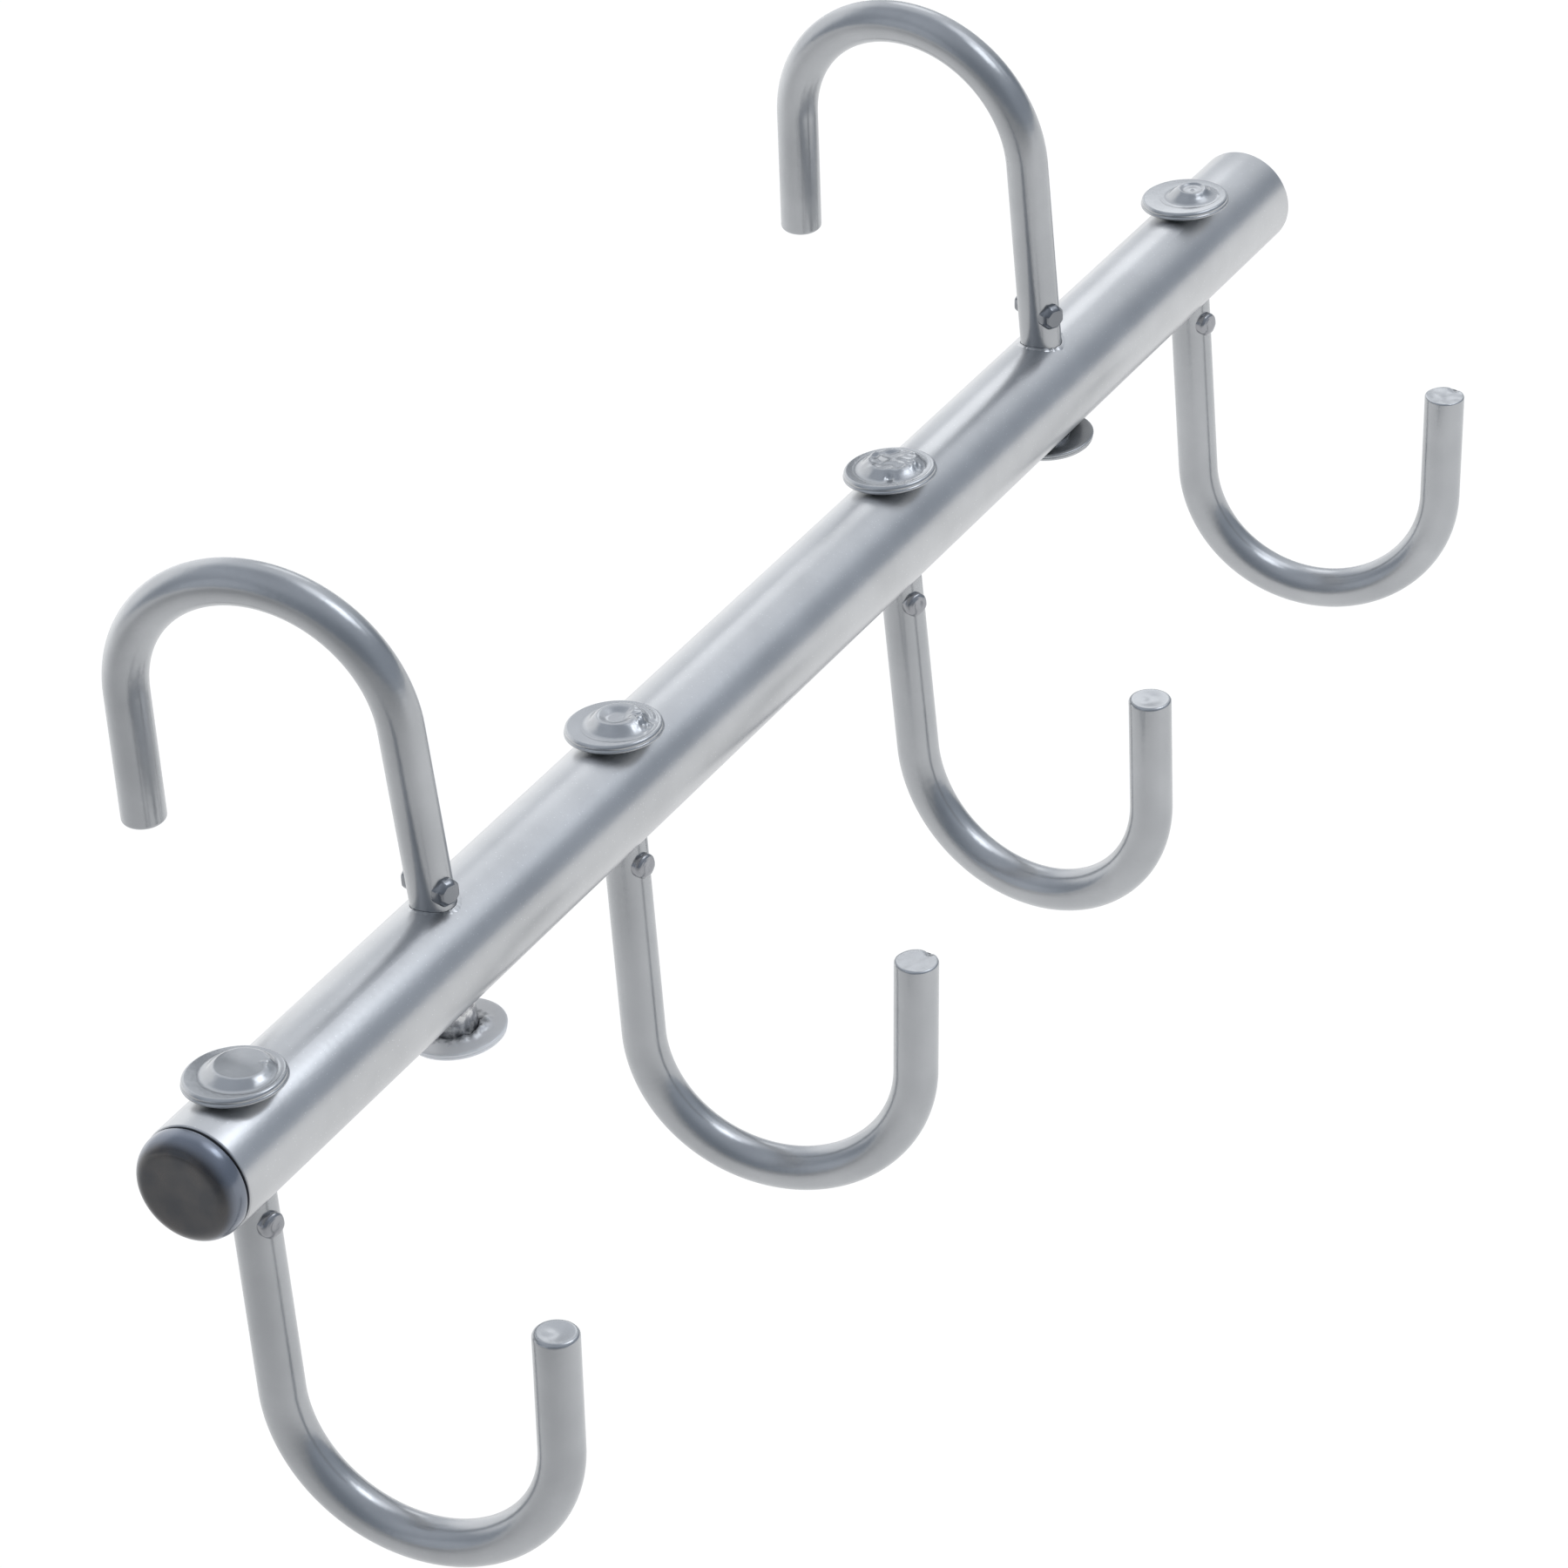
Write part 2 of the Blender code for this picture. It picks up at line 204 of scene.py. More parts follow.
def arc(centre, radius, start, end, steps):
    """Points (radial, axial) on an arc, both of its ends included."""
    points = []
    for step in range(steps + 1):
        angle = math.radians(start + (end - start) * step / steps)
        points.append((centre[0] + radius * math.cos(angle), centre[1] + radius * math.sin(angle)))
    return points


def turned(name, profile, sides, place, closed=False):
    """Turn a profile of (radial, axial) points about Z."""
    rings = [circle(radial, axial, sides) for radial, axial in profile]
    if closed:
        rings.append(rings[0])
    mesh = skin(name, rings, place)
    if closed:
        turn_outwards(mesh, weld=1e-8)
        shade(mesh, SHARP)
    return mesh


def step_between(low, high, value):
    """0 below low, 1 above high, and smooth between."""
    share = min(1.0, max(0.0, (value - low) / (high - low)))
    return share * share * (3 - 2 * share)


def ridge(value, middle, width):
    """1 in the middle, falling off smoothly on both sides."""
    return math.exp(-((value - middle) / width) ** 2)


def bump(x, y, at_x, at_y, width, depth=None, turn=0.0):
    """A bump of height 1, round or stretched along a turned axis."""
    a = math.radians(turn)
    along = (x - at_x) * math.cos(a) + (y - at_y) * math.sin(a)
    across = (y - at_y) * math.cos(a) - (x - at_x) * math.sin(a)
    return math.exp(-(along / width) ** 2 - (across / (depth or width)) ** 2)


def bumps(x, y, rows):
    """A sum of bumps. A row is a height and what bump() takes after x and y."""
    return sum(height * bump(x, y, *form) for height, *form in rows)


# Places on the rack

def hook_place(hook):
    """Z runs down the shank to the bend, X to the tip, and z = 0 is the washer's tube side."""
    tilt = WASHER_RADIUS * math.sin(math.radians(abs(hook.lean[1])))
    dip = RIVET_REACH * math.sin(math.radians(math.hypot(*hook.lean)))
    drop = hook.play - tilt - dip if hook.dropped else 0.0
    lean_x = Matrix.Rotation(math.radians(hook.lean[0]), 4, "X")
    lean_y = Matrix.Rotation(math.radians(hook.lean[1]), 4, "Y")
    turning = Matrix.Rotation(math.radians((90.0 - hook.turn) * hook.side), 4, "Z")
    flip = Matrix.Rotation(math.pi if hook.side < 0 else 0.0, 4, "X")
    centre = Matrix.Translation(TUBE_START + Vector((hook.station, 0.0, 0.0)))
    seat = Matrix.Translation((0.0, 0.0, -(SEAT_DISTANCE + tilt + drop)))
    return centre @ (lean_y @ lean_x) @ turning @ flip @ seat


def worn_angle(place):
    """The angle about the shank, in its own frame, that points right in the photograph."""
    right = place.to_3x3().inverted() @ PICTURE_RIGHT
    return math.atan2(right.y, right.x) % math.tau


def on_tube(point, place, height):
    """Move a point along the shank to a height over the tube's surface, on the bend's side."""
    down = (place.to_3x3() @ Vector((0.0, 0.0, 1.0))).normalized()
    axis = Vector((1.0, 0.0, 0.0))
    flat = point - TUBE_START
    flat -= axis * flat.dot(axis)
    level = down - axis * down.dot(axis)
    a = level.dot(level)
    b = 2 * flat.dot(level)
    c = flat.dot(flat) - (TUBE_RADIUS + height) ** 2
    return point + down * ((-b + math.sqrt(max(0.0, b * b - 4 * a * c))) / (2 * a))


# Tube and cap

TUBE_EASE = 0.0004  # the outer rim's rounding
RIM_EASE = 0.0003   # the inner rim's place behind the end

# Paint fills each hole up to the shank: its radius and its ends along the shank
SNUG_RADIUS = 0.00507
HOLE_SPAN = (-0.009, 0.035)
# A worn crescent beside one shank: a second, narrower hole, moved down the shank and to the right
WORN_RADIUS = 0.0048
WORN_SPAN = (0.0, 0.022)
WORN_DOWN = 0.013
WORN_ASIDE = 0.0010

# The ring of paint round a shank: its outline is in shares of its width and height
COLLAR_WIDTH = 0.0012
COLLAR_HEIGHT = 0.00012
WORN_COLLAR_HEIGHT = 0.00028
COLLAR_OUTLINE = ((0.0, -0.5), (0.02, 1.0), (0.35, 0.8), (0.75, 0.2), (1.0, -0.5))
COLLAR_ROUGH = (0.75, 1.1)        # its mean share of the height, and how much noise changes it
COLLAR_LIMITS = (0.15, 1.3)
COLLAR_NOISE = 6.0
WORN_COLLAR_GAP = (0.9, 0.35)     # how much of it is gone beside the crescent, and over what angle

CAP_RADIUS = TUBE_RADIUS - 0.0002
CAP_FACE = ((0.0, -0.00600), (0.0030, -0.00604), (0.0058, -0.00612), (0.0083, -0.00621))
CAP_SHOULDER_WIDE = 0.0038
CAP_SHOULDER_DEEP = 0.0048
CAP_SHOULDER_END = -0.0014
CAP_SHOULDER_STEPS = 18
CAP_SHOULDER_SWING = 4.8  # degrees in each step
CAP_REAR_ROUND = 0.0007
CAP_STEM_OUTER = 0.0105
CAP_STEM_INNER = 0.0091
CAP_STEM_LENGTH = 0.0105


def make_tube(material):
    """The tube with eased ends. Paint fills the holes up to the leaning shanks."""
    inner = TUBE_RADIUS - TUBE_WALL
    rim = TUBE_RADIUS - TUBE_EASE
    profile = [(inner, RIM_EASE)]
    profile += arc((rim, TUBE_EASE), TUBE_EASE, -90, 0, 4)
    profile += [(TUBE_RADIUS, TUBE_LENGTH * quarter / 4) for quarter in (1, 2, 3)]
    profile += arc((rim, TUBE_LENGTH - TUBE_EASE), TUBE_EASE, 0, 90, 4)
    profile += [(inner, TUBE_LENGTH - RIM_EASE)]
    place = Matrix.Translation(TUBE_START) @ ALONG_X
    tube = add_object("tube_shell", turned("tube_shell", profile, TUBE_SIDES, place, closed=True))

    worn = hook_place(WORN_HOOK) @ Matrix.Translation((0.0, 0.0, WORN_DOWN))
    worn.translation += PICTURE_RIGHT * WORN_ASIDE
    holes = [(hook_place(hook), HOLE_SPAN, SNUG_RADIUS) for hook in HOOKS]
    holes.append((worn, WORN_SPAN, WORN_RADIUS))
    drills = []
    for place, (low, high), radius in holes:
        ends = [(0.0, high), (radius, high), (radius, low), (0.0, low)]
        drill = add_object("drill", turned("drill", ends, DRILL_SIDES, place))
        cut = tube.modifiers.new("cut", "BOOLEAN")
        cut.operation = "DIFFERENCE"
        cut.solver = "EXACT"
        cut.object = drill
        drills.append(drill)
    depsgraph = bpy.context.evaluated_depsgraph_get()
    mesh = bpy.data.meshes.new_from_object(tube.evaluated_get(depsgraph))
    for old in [tube, *drills]:
        bpy.data.objects.remove(old, do_unlink=True)

    join(mesh, [mesh, *(collar(hook) for hook in HOOKS)])
    shade(mesh, TUBE_SHARP)
    return add_piece("tube_shell", mesh, "rack", material, "tube_paint", "tube")


def collar(hook):
    """The rough ring of paint where a shank leaves the tube."""
    place = hook_place(hook)
    height = WORN_COLLAR_HEIGHT if hook is WORN_HOOK else COLLAR_HEIGHT
    rings = [[] for _ in COLLAR_OUTLINE]
    for k in range(COLLAR_SIDES):
        angle = math.tau * k / COLLAR_SIDES
        out = Vector((math.cos(angle), math.sin(angle), 0.0))
        spot = out * COLLAR_NOISE + Vector((hook.station * 70, 0.0, 0.0))
        rough = COLLAR_ROUGH[0] + COLLAR_ROUGH[1] * noise.noise(spot)
        if hook is WORN_HOOK:
            gone, width = WORN_COLLAR_GAP
            rough *= 1.0 - gone * bump(angle, 0.0, worn_angle(place), 0.0, width)
        share = min(COLLAR_LIMITS[1], max(COLLAR_LIMITS[0], rough))
        for ring, (reach, rise) in zip(rings, COLLAR_OUTLINE):
            radius = SNUG_RADIUS + COLLAR_WIDTH * reach * (0.6 + 0.4 * share)
            ring.append(tuple(on_tube(place @ (out * radius), place, height * rise * share)))
    return skin("collar", rings + [rings[0]], Matrix.Identity(4))


def make_cap(material):
    """The cap: a gently hollow face, a broad elliptical shoulder, a rounded rear edge, a stem."""
    profile = list(CAP_FACE)
    for step in range(1, CAP_SHOULDER_STEPS + 1):
        swing = math.radians(90 - CAP_SHOULDER_SWING * step)
        radial = CAP_RADIUS - CAP_SHOULDER_WIDE + CAP_SHOULDER_WIDE * math.cos(swing)
        profile.append((radial, CAP_SHOULDER_END - CAP_SHOULDER_DEEP * math.sin(swing)))
    rear = (CAP_RADIUS - CAP_REAR_ROUND, -SEAT_GAP - CAP_REAR_ROUND)
    profile += arc(rear, CAP_REAR_ROUND, 0, 90, 5)
    profile += [(CAP_STEM_OUTER, -SEAT_GAP), (CAP_STEM_OUTER, CAP_STEM_LENGTH)]
    profile += [(CAP_STEM_INNER, CAP_STEM_LENGTH), (CAP_STEM_INNER, -SEAT_GAP), (0.0, -SEAT_GAP)]
    place = Matrix.Translation(TUBE_START) @ ALONG_X
    mesh = turned("cap_moulding", profile, CAP_SIDES, place)
    return add_piece("cap_moulding", mesh, "rack", material, "cap_plastic", "end_cap")


# Heads. Each form gives the height over the washer in millimetres, from the millimetres to the
# right and away in the photograph. The rows are for bumps().

FLAT_REACH = 9.9     # how far a head may reach from the shank's axis, in millimetres
FOOT_HEIGHT = 0.012  # the least height of a head, in millimetres
HEAD_LIFT = 0.00002  # the feathered foot's clearance over the washer
UNEVEN = 0.02        # how much noise changes a head's radius, and its scale round the shank
UNEVEN_SCALE = 1.7

SMOOTH_MARKS = (
    (0.45, 0.3, 0.2, 5.6),
    (0.30, 4.3, -0.6, 0.45),
    (0.26, 5.5, 0.9, 0.40),
    (0.20, 4.9, -1.9, 0.40),
)
HAMMER_MARKS = (
    (0.60, 1.4, -1.0, 4.2, 2.8, 10.0),
    (0.50, -4.6, 5.0, 1.1),
    (0.35, 5.3, 1.8, 1.1),
    (-0.75, -0.6, 3.9, 3.0, 0.85, 8.0),
    (-0.55, -4.6, 3.2, 1.6, 0.9, -35.0),
    (-0.45, 3.2, 4.6, 2.0, 0.8, -14.0),
    (-0.45, -3.6, 1.0, 0.9, 2.6, 25.0),
)
CRATER_MARKS = (
    (-0.24, 0.7, -1.3, 0.42),
    (0.10, 0.7, -0.6, 0.9),
    (0.18, -4.0, 1.8, 2.2, 0.7, 60.0),
    (0.20, 5.8, 1.2, 2.4, 0.5, -60.0),
    (-0.14, 3.9, -3.3, 2.4, 0.7, 40.0),
)


def dome(reach, crown):
    """A low dome from 1 inside the crown to 0 at its long feathered foot."""
    return (1.0 - step_between(crown, 1.0, reach)) ** 1.6


def smooth_head(x, y, radius):
    """A melted button with three small chips."""
    return 1.50 * dome(math.hypot(x, y) / radius, 0.62) + bumps(x, y, SMOOTH_MARKS)


def dished_head(x, y, radius):
    """A hollow crown, folded over on one side and crumpled on the right."""
    reach = math.hypot(x, y) / radius
    away = math.hypot(x + 0.9, y + 0.2)
    rim = 0.30 * ridge(away, 4.6, 1.1) - 0.10 * ridge(away, 2.1, 0.6)
    dish = 0.62 * math.exp(-((away / 3.1) ** 4))
    angle = math.degrees(math.atan2(y, x))
    side = step_between(-10, 15, angle) * (1.0 - step_between(80, 115, angle))
    fold = side * (0.34 * ridge(reach, 0.86, 0.06) - 0.26 * ridge(reach, 0.72, 0.06))
    crease = noise.noise(Vector((x * 0.8, y * 0.8, 3.4)))
    crease += 0.3 * noise.noise(Vector((x * 1.6, y * 1.6, 8.1)))
    crumple = 1.05 * crease * bump(x, y, 4.9, -1.9, 1.9, 3.0, 20.0)
    return 1.85 * dome(reach, 0.52) + rim - dish + fold + crumple


def hammered_head(x, y, radius):
    """A beaten crown with a bulge, knobs, trenches and a notch in its foot."""
    reach = math.hypot(x, y) / radius
    ripple = 0.16 * noise.noise(Vector((x * 0.45, y * 0.6, 7.3)))
    creases = 0.75 * noise.noise(Vector((x * 1.1, y * 1.1, 5.2))) * bump(x, y, 5.3, -3.4, 1.7)
    beaten = (bumps(x, y, HAMMER_MARKS) + creases) * (1.0 - reach ** 6)
    notch = 1.4 * bump(x, y, -1.1, -7.4, 0.8, 0.9)
    return (1.90 + ripple) * dome(reach, 0.56) + beaten - notch


def crater_head(x, y, radius):
    """A cone with a rimmed cup and a pit in it."""
    away = math.hypot(x - 0.7, y + 0.9)
    skirt = 1.0 - step_between(2.9, radius * 0.93, math.hypot(x - 0.4, y + 0.4))
    cone = 2.35 * (0.5 * skirt + 0.5 * skirt ** 2.2)
    cup = 0.18 * ridge(away, 3.3, 0.38) - 0.36 * (1.0 - step_between(2.2, 3.2, away))
    return cone + cup + bumps(x, y, CRATER_MARKS)


# Each head's form, radius and offset to the right and away, in millimetres
HEADS = {
    ("lower", 1): (smooth_head, 9.6, (1.9, 0.6)),
    ("lower", 2): (dished_head, 9.2, (1.6, 0.2)),
    ("lower", 3): (hammered_head, 9.9, (1.1, 0.2)),
    ("lower", 4): (crater_head, 7.8, (1.3, 0.1)),
    ("upper", 1): (hammered_head, 8.8, (0.4, 0.0)),
    ("upper", 2): (smooth_head, 8.8, (0.4, 0.0)),
}


def head_rings(hook, place):
    """Rings of the formed head, from its crown out to its feathered edge and in to the rod."""
    form, radius, offset = HEADS[hook.row, hook.number]
    to_local = place.to_3x3().inverted()
    right = to_local @ PICTURE_RIGHT
    away = to_local @ PICTURE_AWAY
    shift = (right * offset[0] + away * offset[1]) / 1000
    floor = -(WASHER_THICKNESS + HEAD_LIFT)
    room = FLAT_REACH ** 2 - 1e6 * shift.xy.length_squared
    rings = []
    for step in range(HEAD_RINGS + 1):
        ring = []
        reach = radius * math.sin(math.radians(90 * step / HEAD_RINGS))
        for x, y, _ in circle(1.0, 0.0, 2 * ROD_SIDES):
            outward = 1000 * (x * shift.x + y * shift.y)
            wide = min(radius, math.sqrt(outward ** 2 + room) - outward)
            around = Vector((x * UNEVEN_SCALE, y * UNEVEN_SCALE, hook.station * 90))
            edge = reach * wide / radius * (1.0 + UNEVEN * noise.noise(around))
            spot = Vector((x * edge, y * edge, 0.0))
            height = max(FOOT_HEIGHT, form(spot.dot(right), spot.dot(away), wide))
            ring.append((spot.x / 1000 + shift.x, spot.y / 1000 + shift.y, floor - height / 1000))
        rings.append(ring)
    rings[0] = rings[0][:1]
    rings.append([(x, y, floor) for x, y, z in rings[-1]])
    rings.append(circle(ROD_RADIUS, floor, ROD_SIDES))
    return rings


# Tips. Each form gives the height over the rod's own cross-section.

def plain_tip(x, y):
    """A slightly hollow end."""
    return -0.00010 * bump(x, y, 0.0, 0.0, 0.0032)


def dished_tip(x, y):
    """A soft hollow with a nub beside it."""
    nub = 0.00016 * bump(x, y, 0.0012, 0.0006, 0.0014)
    return nub - 0.00042 * bump(x, y, -0.0002, 0.0, 0.0033)


def sheared_tip(x, y):
    """A flat, slightly wavy cut with a chip at the rim."""
    spot = Vector((x * 420, y * 420, 2.7))
    wave = 0.00010 * noise.noise(spot) - 0.00006 * bump(x, y, 0.0, 0.0, 0.0030)
    chip = 0.00055 * bump(x, y, -0.0016, -0.0043, 0.0009, 0.0013, 20.0)
    return wave - chip


# Each tip's form and the rounding of its edge
TIPS = {
    ("lower", 1): (dished_tip, 0.0011),
    ("lower", 2): (sheared_tip, 0.0006),
    ("lower", 3): (dished_tip, 0.0008),
    ("lower", 4): (sheared_tip, 0.0004),
    ("upper", 1): (plain_tip, 0.0009),
    ("upper", 2): (plain_tip, 0.0009),
}


# Hooks

def swept(centre, along, radius, height_at=None):
    """A ring square to the rod's direction, raised by a tip's form."""
    across = Vector((along.z, 0.0, -along.x))
    ring = []
    for k in range(ROD_SIDES):
        angle = math.tau * k / ROD_SIDES
        x = radius * math.cos(angle)
        y = radius * math.sin(angle)
        point = centre + across * x + Vector((0.0, y, 0.0))
        if height_at:
            point = point + along * height_at(x, y)
        ring.append(tuple(point))
    return ring


def make_rod(hook, material):
    """Formed head, shank, bend and tip."""
    place = hook_place(hook)
    rings = head_rings(hook, place)
    down = Vector((0.0, 0.0, 1.0))
    length = hook.shank + WASHER_THICKNESS
    for step in range(1, SHANK_STEPS + 1):
        centre = Vector((0.0, 0.0, -WASHER_THICKNESS + length * step / SHANK_STEPS))
        rings.append(swept(centre, down, ROD_RADIUS))
    for step in range(1, BEND_STEPS + 1):
        swing = math.radians(BEND_ANGLE) * step / BEND_STEPS
        aside = BEND_RADIUS * (1 - math.cos(swing))
        centre = Vector((aside, 0.0, hook.shank + BEND_RADIUS * math.sin(swing)))
        along = Vector((math.sin(swing), 0.0, math.cos(swing)))
        rings.append(swept(centre, along, ROD_RADIUS))
    form, edge = TIPS[hook.row, hook.number]
    for step in range(1, TIP_STEPS + 1):
        spot = centre + along * (hook.tip - edge) * step / TIP_STEPS
        rings.append(swept(spot, along, ROD_RADIUS))
    end = centre + along * hook.tip
    rim = ROD_RADIUS - edge
    for step in range(1, TIP_EDGE_STEPS + 1):
        swing = math.radians(90 * step / TIP_EDGE_STEPS)
        back = along * edge * (1 - math.sin(swing))
        rings.append(swept(end - back, along, rim + edge * math.cos(swing), form))
    for step in range(1, TIP_FACE_STEPS):
        rings.append(swept(end, along, rim * (1 - step / TIP_FACE_STEPS), form))
    rings.append([tuple(end + along * form(0.0, 0.0))])
    name = "%s_rod_%d" % hook[:2]
    body = "%s_swivel_%d" % hook[:2]
    mesh = skin("rod", rings, place)
    return add_piece(name, mesh, body, material, "hook_paint", "%s_hook_%d" % hook[:2])


WASHER_BORE = ROD_RADIUS + 0.00005
WASHER_BORE_EASE = 0.0002
WASHER_UPPER = 0.0008              # the upper edge's rounding, and its middle's place
WASHER_UPPER_MIDDLE = (WASHER_RADIUS - 0.0010, WASHER_UPPER - WASHER_THICKNESS)
WASHER_CREASE = (WASHER_RADIUS - 0.00027, -0.00092)
WASHER_LOWER = 0.0004              # the lower edge's rounding, and its middle's place
WASHER_LOWER_MIDDLE = (WASHER_RADIUS - WASHER_LOWER, -0.0005)
WASHER_FACE_RINGS = 14             # on the tube side, for the spatter
WASHER_FACE_STEP = 0.00036


def washer_profile():
    """A pressed washer: a rounded upper edge, a fine crease and a fuller lower edge."""
    profile = [(WASHER_BORE, -WASHER_THICKNESS)]
    profile += arc(WASHER_UPPER_MIDDLE, WASHER_UPPER, -90, 10, 8)
    profile += [WASHER_CREASE]
    profile += arc(WASHER_LOWER_MIDDLE, WASHER_LOWER, -60, 90, 8)
    for step in range(1, WASHER_FACE_RINGS + 1):
        profile.append((WASHER_LOWER_MIDDLE[0] - WASHER_FACE_STEP * step, 0.0))
    profile += [(WASHER_BORE + WASHER_BORE_EASE, 0.0), (WASHER_BORE, -WASHER_BORE_EASE)]
    return profile


def make_washer(hook, material):
    """The washer, with weld spatter on one of them."""
    place = hook_place(hook)
    mesh = turned("washer", washer_profile(), WASHER_SIDES, place, closed=True)
    if hook is SPATTERED_HOOK:
        spatter(mesh, place)
    name = "%s_plate_%d" % hook[:2]
    body = "%s_collar_%d" % hook[:2]
    return add_piece(name, mesh, body, material, "washer_paint", "%s_washer_%d" % hook[:2])


SPATTER_HEIGHT = 0.0012
SPATTER_REACH = (0.0066, 0.0084)  # from full height to none, from the shank's axis
SPATTER_MARGIN = 0.0004           # kept free under the tube
SPATTER_SIDE = (0.5, 0.866)       # level direction that it turns away from
SPATTER_TURN = (-0.1, 0.6)        # from none to full height, as it faces away from there
SPATTER_MEAN = 0.5
SPATTER_NOISE = ((0.9, 700), (0.4, 1800))
SPATTER_LIMIT = 1.3
TUBE_WIDEST = 0.0105              # how far aside the room under the tube still grows


def spatter(mesh, place):
    """Raise rough lumps beside the shank, low enough to clear the tube when drawn up to it."""
    inverse = place.inverted()
    for vertex in mesh.vertices:
        spot = inverse @ vertex.co
        if abs(spot.z) > 1e-7:
            continue
        world = place.to_3x3() @ spot
        aside = min(abs(world.y), TUBE_WIDEST)
        under = TUBE_RADIUS - math.sqrt(TUBE_RADIUS ** 2 - aside ** 2)
        room = max(0.0, under + SEAT_GAP - SPATTER_MARGIN)
        reach = math.hypot(spot.x, spot.y)
        near = 1.0 - step_between(*SPATTER_REACH, reach)
        turned_to = -(SPATTER_SIDE[0] * world.x + SPATTER_SIDE[1] * world.y) / max(reach, 1e-6)
        facing = step_between(*SPATTER_TURN, turned_to)
        lumps = SPATTER_MEAN
        for share, scale in SPATTER_NOISE:
            lumps += share * noise.noise(world * scale)
        lumps = min(SPATTER_LIMIT, max(0.0, lumps))
        rise = min(SPATTER_HEIGHT * near * facing * lumps, room)
        vertex.co = place @ (spot + Vector((0.0, 0.0, rise)))


# A button's profile from its crown to its foot inside the rod: crisp on the upper hooks, and worn
# round on the lower ones, which are a little smaller
BUTTON_FOOT = 0.0030
CRISP_RADIUS = RIVET_HEAD_D / 2
CRISP_BUTTON = (
    (0.0, RIVET_REACH), (0.0012, RIVET_REACH), (0.0020, RIVET_REACH - 0.00002),
    (0.0022, RIVET_REACH - 0.0001), (0.0026, 0.0065), (0.0029, 0.0061), (0.0031, 0.0058),
    (CRISP_RADIUS, 0.0054), (CRISP_RADIUS, BUTTON_FOOT), (0.0, BUTTON_FOOT),
)
WORN_BUTTON_RADIUS = RIVET_HEAD_D / 2 - 0.0002
WORN_BUTTON_ROUND = 0.0013
WORN_BUTTON = (
    (0.0, 0.00675), (0.0008, 0.00673), (0.0014, 0.00667), (0.0018, 0.00655),
    *arc((WORN_BUTTON_RADIUS - WORN_BUTTON_ROUND, 0.0052), WORN_BUTTON_ROUND, 80, 0, 8),
    (WORN_BUTTON_RADIUS, BUTTON_FOOT), (0.0, BUTTON_FOOT),
)


FACETS = 8
FACET_TURN = 0.3              # radians
FACET_EASE = 1.02             # rounds the corners between the facets
FACET_START = (0.001, 0.002)  # the crown inside is round
CRISP_DEPTH = 0.9
WORN_DEPTH = 0.45
DENT = 0.00030
DENT_PLACE = (0.0005, -0.0006)
DENT_SIZE = (0.0010, 0.0016)
DENT_START = (0.0045, 0.0055)


def make_button(hook, end, place):
    """One of a rivet's two heads, with soft facets, and with a dent where it is worn."""
    crisp = hook.row == "upper"
    depth = CRISP_DEPTH if crisp else WORN_DEPTH
    half = math.pi / FACETS
    rings = []
    for radial, axial in CRISP_BUTTON if crisp else WORN_BUTTON:
        ring = []
        for x, y, z in circle(radial, axial, RIVET_SIDES):
            angle = (math.atan2(y, x) + FACET_TURN * end) % (2 * half) - half
            flat = min(1.0, math.cos(half) / math.cos(angle) * FACET_EASE)
            facet = 1.0 + (flat - 1.0) * depth * step_between(*FACET_START, radial)
            dent = 0.0
            if not crisp:
                at = (DENT_PLACE[0] * end, DENT_PLACE[1])
                dent = DENT * bump(x, y, *at, *DENT_SIZE, 30.0 * hook.number)
            ring.append((x * facet, y * facet, z - dent * step_between(*DENT_START, z)))
        rings.append(ring)
    flip = Matrix.Rotation(0.0 if end > 0 else math.pi, 4, "X")
    return skin("button", rings, place @ flip)


def make_rivet(hook, material):
    """The two hammered buttons of a cross rivet."""
    down = 2 * SEAT_DISTANCE + hook.play + RIVET_HEAD_D / 2
    stop = Matrix.Translation((0.0, 0.0, down))
    turn = Matrix.Rotation(math.radians(-RIVET_TURN * hook.side), 4, "Z")
    across = Matrix.Rotation(math.radians(90), 4, "Y")
    place = hook_place(hook) @ stop @ turn @ across
    mesh = bpy.data.meshes.new("rivet")
    join(mesh, [make_button(hook, end, place) for end in (1, -1)])
    shade(mesh, RIVET_SHARP)
    name = "%s_rivet_%d" % hook[:2]
    body = "%s_swivel_%d" % hook[:2]
    return add_piece(name, mesh, body, material, "rivet_steel", "%s_stop_rivet_%d" % hook[:2])


# Materials

# Noises, each a scale and a detail
CLOUDS = (55.0, 4.0)
PEEL = (700.0, 2.0)
FLECKS = (620.0, 5.0)
SCUFFS = (170.0, 5.0)

# Metal paint
CLOUD_STOPS = (0.30, 0.72)
FLAKE_SCALE = 900.0
FLAKE_EDGE = (0.16, 0.06)  # where a flake starts and is full, in its own cell
FLAKE_COLOUR = (0.86, 0.87, 0.88, 1.0)
GLOSS_SPREAD = 0.028       # how far the roughness goes up and down
PEEL_RELIEF = (0.06, 0.0004)

# Burns: the width of their ragged edge, where it ends and starts outside their radius, and the
# colours of their flecks
RAGGED = 0.0050
BURN_EDGE = (0.0032, 0.0012)
BURN_TONES = (
    (0.38, (0.38, 0.385, 0.40)),
    (0.50, (0.55, 0.555, 0.57)),
    (0.62, (0.86, 0.86, 0.85)),
)

# Cap: plain and dusty plastic, and a pale, partly metallic ring on its shoulder that is a painted
# sheen
CAP_TONES = ((0.35, (0.005, 0.008, 0.015)), (0.75, (0.052, 0.043, 0.037)))
CAP_GLOSS = (0.18, 0.28)
CAP_RELIEF = (0.08, 0.0003)
PAINTED_SHEEN_RING = (0.0104, 0.0123)
PAINTED_SHEEN_COLOUR = (0.19, 0.21, 0.25, 1.0)
PAINTED_SHEEN_METALLIC = 0.75

